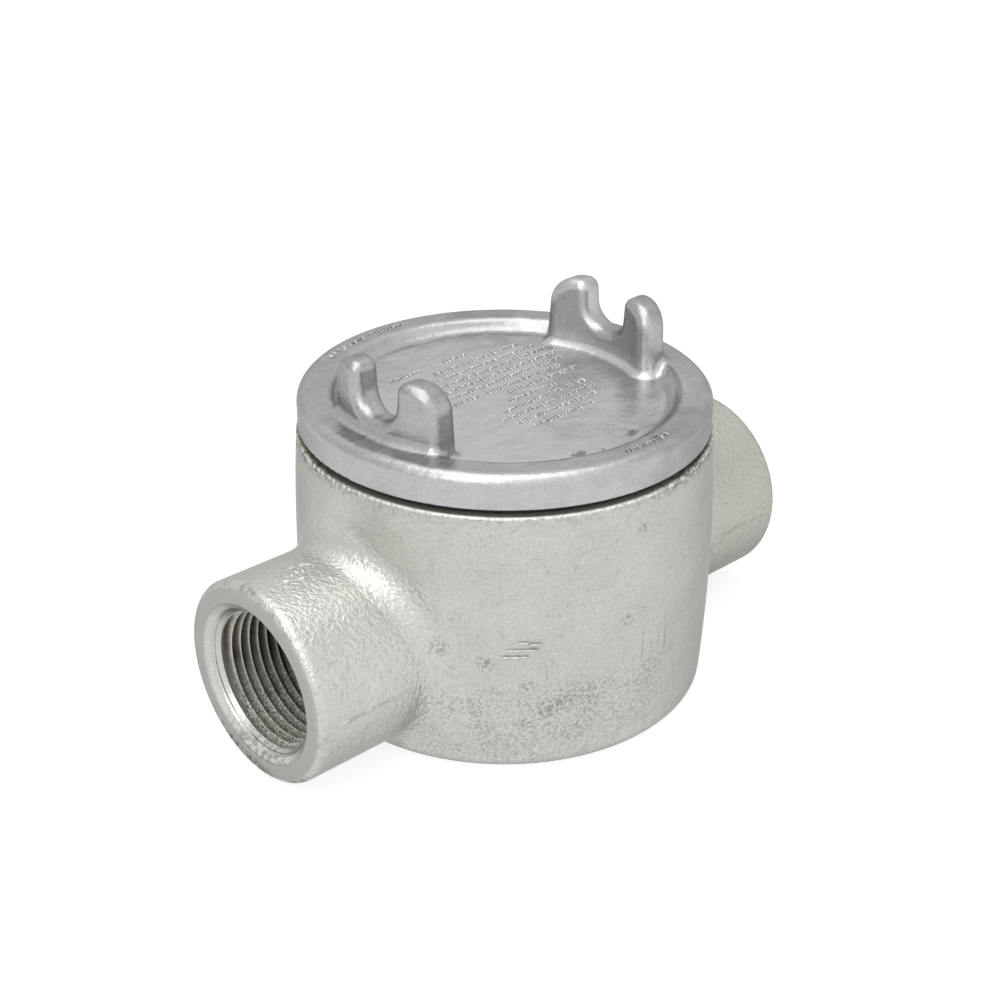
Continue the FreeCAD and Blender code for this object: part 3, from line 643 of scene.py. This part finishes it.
# seams where the mould met along the hubs, the short ribs on the pot, and an oval with strokes on a hub;
# strokes run from (across, along) to (across, along), measured from the oval's middle
castBeads = {
    "seamFrom": 49.0, "seamTo": 67.6, "wall": 46.4, "ribSteps": 8,
    "oval": {"middle": (-58.35, -1.0), "half": (4.2, 2.2), "points": 44},
    "strokes": (((-1.9, -0.9), (-0.9, 0.8)), ((-0.5, 0.9), (0.3, -0.7)), ((0.8, -0.8), (1.9, 0.6))),
    "beads": {
        "hub_seams": {"section": (0.28, 0.42), "fade": 4, "waver": 0.8, "step": 0.5},
        "pot_ribs": {"section": (0.55, 0.38), "fade": 1.2, "waver": 0.5, "step": 0.25},
        "hub_mark": {"section": (0.55, 0.36), "fade": 0.01, "waver": 0.7, "step": 0.3},
        "hub_strokes": {"section": (0.50, 0.42), "fade": 0.5, "waver": 0.4, "step": 0.25},
    },
}


# evenly spaced angles in radians, both ends included
def spread(start, end, steps):
    return [math.radians(start + (end - start) * i / steps) for i in range(steps + 1)]


def beadSection(sizes):
    wide, tall = sizes
    return (wide * mm, tall * mm, 1)


def makeBeads(look):
    tree = makeBeadTree()

    def cast(name, paths, closed=False):
        bead = look["beads"][name]
        grow(name, tree, startMesh(paths, closed), lacquerFinish, {
            "Section": beadSection(bead["section"]), "Fade": bead["fade"] * mm, "Waver": bead["waver"],
            "Step": bead["step"] * mm}, "box")

    def onHub(x, y):
        return x, y, hubSizes["axis"] + math.sqrt(hubSizes["radius"] ** 2 - y ** 2)

    level = hubSizes["axis"] - hubSizes["seamDrop"]
    seams = [[(hub * look[end], side * hubSizes["radius"], level) for end in ("seamFrom", "seamTo")]
             for side in (1, -1) for hub in hubSides.values()]
    cast("hub_seams", seams)
    wall = look["wall"]
    ribs = []
    for start, end, height in potRibs:
        turns = spread(start, end, look["ribSteps"])
        ribs.append([(wall * math.cos(turn), wall * math.sin(turn), height) for turn in turns])
    cast("pot_ribs", ribs)
    oval = look["oval"]
    left, ahead = oval["middle"]
    long, wide = oval["half"]
    turns = [math.tau * i / oval["points"] for i in range(oval["points"])]
    loop = [onHub(left + long * math.cos(turn), ahead + wide * math.sin(turn)) for turn in turns]
    cast("hub_mark", [loop], closed=True)
    cast("hub_strokes", [[onHub(left + x, ahead + y) for x, y in stroke] for stroke in look["strokes"]])


makeBeads(castBeads)

# generic raised rows: (along the cover, from, to) on its floor, (radius, degrees from, degrees to) on its rim
coverMarks = {
    "floor": 66.15, "rim": 68.95, "turned": 1.4, "arcSteps": 24,
    "rows": ((22.4, -13, -5), (22.4, 3, 9), (18.6, -4, 22), (15.6, -6, 24), (12.6, -9, 25), (9.6, -9, 25),
             (6.6, -10, 24), (3.6, -11, 20), (0.4, 2, 22), (-2.8, -1, 12), (-6.0, -7, 18), (-9.0, -9, 18),
             (-12.0, -8, 15), (-15.2, -6, 11)),
    "arcs": ((41.0, 117, 80), (41.0, -98, -82)),
    "section": (0.30, 0.42), "fade": 0.25, "waver": 0.3, "pitch": 0.92, "shortest": 0.9, "longest": 1.45,
    "kept": 0.9, "upright": 0.62, "seed": 11,
}


def makeMarks(look):
    turn = Matrix.Rotation(math.radians(look["turned"]), 3, "Z")
    paths = [[(x, y, look["floor"]) for x in (start, end)] for y, start, end in look["rows"]]
    for radius, start, end in look["arcs"]:
        angles = spread(start, end, look["arcSteps"])
        paths.append([(radius * math.cos(a), radius * math.sin(a), look["rim"]) for a in angles])
    turned = [[turn @ Vector(point) for point in path] for path in paths]
    grow("cover_marks", makeMarksTree(), startMesh(turned), aluminiumFinish, {
        "Section": beadSection(look["section"]), "Fade": look["fade"] * mm, "Waver": look["waver"],
        "Pitch": look["pitch"] * mm, "Shortest": look["shortest"] * mm, "Longest": look["longest"] * mm,
        "Kept": look["kept"], "Upright": look["upright"], "Seed": look["seed"]}, "cover")


makeMarks(coverMarks)

# degrees and metres, solved against the photograph
cameraView = {
    "azimuth": -43.36, "elevation": 28.93, "roll": 0.43, "distance": 0.39527, "target": (0, 0, 0.0309),
    "lens": 62.88, "sensor": 36, "shift": (-0.0039, 0.0375), "clip": (0.01, 50),
}


def makeCamera(view):
    azimuth, elevation, roll = (math.radians(view[key]) for key in ("azimuth", "elevation", "roll"))
    level = math.cos(elevation)
    back = Vector((math.sin(azimuth) * level, -math.cos(azimuth) * level, math.sin(elevation)))
    right = Vector((math.cos(azimuth), math.sin(azimuth), 0))
    up = back.cross(right)
    turned = Matrix((
        right * math.cos(roll) + up * math.sin(roll), up * math.cos(roll) - right * math.sin(roll), back))
    data = bpy.data.cameras.new("camera")
    data.sensor_width = view["sensor"]
    data.lens = view["lens"]
    data.shift_x, data.shift_y = view["shift"]
    data.clip_start, data.clip_end = view["clip"]
    camera = bpy.data.objects.new("camera", data)
    scene.collection.objects.link(camera)
    stand = Matrix.Translation(Vector(view["target"]) + back * view["distance"])
    camera.matrix_world = stand @ turned.transposed().to_4x4()
    scene.camera = camera


makeCamera(cameraView)
scene.view_settings.view_transform = "Standard"

# soft sky, brighter behind the camera and opposite it and white along the skyline, with two lamps
studio = {
    "zenith": 0.88, "horizon": 0.77, "climb": (0.15, 0.95), "skyline": (0.06, 0.13),
    "front": 0.44, "frontWay": (-0.35, -0.94), "back": 0.12, "backWay": (0.69, 0.72), "spread": (0.1, 0.8),
    "floor": rgb(0.25, 0.25, 0.25), "floorGlow": 0.79, "floorRough": 0.8, "floorReach": 6.0,
    "lamps": {"overhead": {"place": (-0.08, -0.06, 0.75), "size": 0.65, "watts": 2.25},
              "frontal": {"place": (-0.55, -0.28, 0.51), "size": 0.42, "watts": 1.1}},
}


def makeStudio(look):
    world = bpy.data.worlds.new("studio")
    world.use_nodes = True
    scene.world = world
    start = Wire(world.node_tree)
    x, y, z = start.node("ShaderNodeTexCoord", output="Generated").axes()
    glow = look["horizon"] + (look["zenith"] - look["horizon"]) * z.ease(*look["climb"])
    for side in ("front", "back"):
        across, along = look[side + "Way"]
        glow = glow + look[side] * (across * x + along * y).ease(*look["spread"])
    skyline = 1 - z.ease(*look["skyline"])
    glow = glow.maths("MAXIMUM", glow, skyline)
    connect(world.node_tree, world.node_tree.nodes["Background"], {"Color": glow, "Strength": 1})
    for name, spec in look["lamps"].items():
        lamp = bpy.data.lights.new(name, "AREA")
        lamp.size = spec["size"]
        lamp.energy = spec["watts"]
        holder = bpy.data.objects.new(name, lamp)
        scene.collection.objects.link(holder)
        holder.location = spec["place"]
        holder.rotation_euler = Vector(spec["place"]).to_track_quat("Z", "Y").to_euler()
    makeFloor(look)


def makeFloor(look):
    reach = look["floorReach"]
    corners = [(-reach, -reach, 0), (reach, -reach, 0), (reach, reach, 0), (-reach, reach, 0)]
    mesh = bpy.data.meshes.new("floor")
    mesh.from_pydata(corners, [], [(0, 1, 2, 3)])
    floor = bpy.data.objects.new("floor", mesh)
    scene.collection.objects.link(floor)
    material = bpy.data.materials.new("pale_floor")
    material.use_nodes = True
    tree = material.node_tree
    rays = [Wire(tree).node("ShaderNodeLightPath", output=ray) for ray in
            ("Is Camera Ray", "Is Glossy Ray", "Is Transmission Ray")]
    seen = rays[0].maths("MINIMUM", rays[0] + rays[1] + rays[2], 1)
    connect(tree, tree.nodes["Principled BSDF"], {
        "Base Color": look["floor"], "Roughness": look["floorRough"], "Emission Strength": look["floorGlow"],
        "Emission Color": seen.tint(rgb(0, 0, 0), rgb(1, 1, 1))})
    mesh.materials.append(material)


makeStudio(studio)
print("studio ready")
